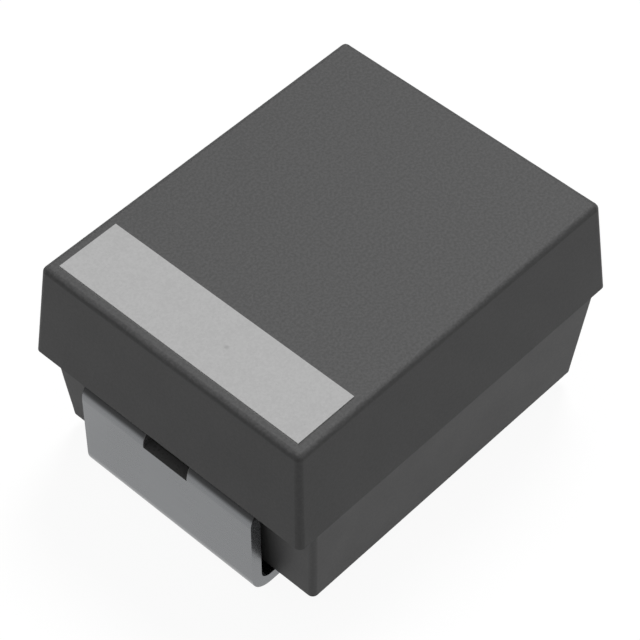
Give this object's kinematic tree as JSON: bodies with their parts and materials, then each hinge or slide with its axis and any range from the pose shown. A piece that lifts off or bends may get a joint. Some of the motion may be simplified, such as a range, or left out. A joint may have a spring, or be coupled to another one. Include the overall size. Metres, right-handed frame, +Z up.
{
  "type": "moulded tantalum chip capacitor",
  "caption": "Moulded chip capacitor: a tapered dark case with a light polarity band, bent terminals at its ends, and a coated tantalum pellet on a wire inside.",
  "frame": {"origin": "on the board, under the middle of the part, level with the undersides of the terminals' feet", "axes": "+Z up from the board, +X along the part from the banded positive end to the negative end, +Y across it"},
  "size_m": [0.0036, 0.0028, 0.002],
  "materials": {
    "moulding": "fine matte grain",
    "band_ink": "flat printed grey",
    "tin_plate": "matte tin",
    "tantalum_wire": "drawn",
    "washer_plastic": "waxy",
    "sintered_tantalum": "porous, matte",
    "manganese_dioxide": "dull, grainy",
    "graphite": "dull with a slight sheen",
    "silver_paint": "matte metallic paint",
    "silver_glue": "matte metallic paste"
  },
  "bodies": {
    "root": {"moulded_case": "moulding", "polarity_band": "band_ink", "anode_terminal": "tin_plate", "cathode_terminal": "tin_plate", "anode_wire": "tantalum_wire", "wire_washer": "washer_plastic", "tantalum_pellet": "sintered_tantalum", "manganese_dioxide_coat": "manganese_dioxide", "graphite_coat": "graphite", "silver_coat": "silver_paint", "silver_adhesive": "silver_glue"}
  },
  "joints": []
}
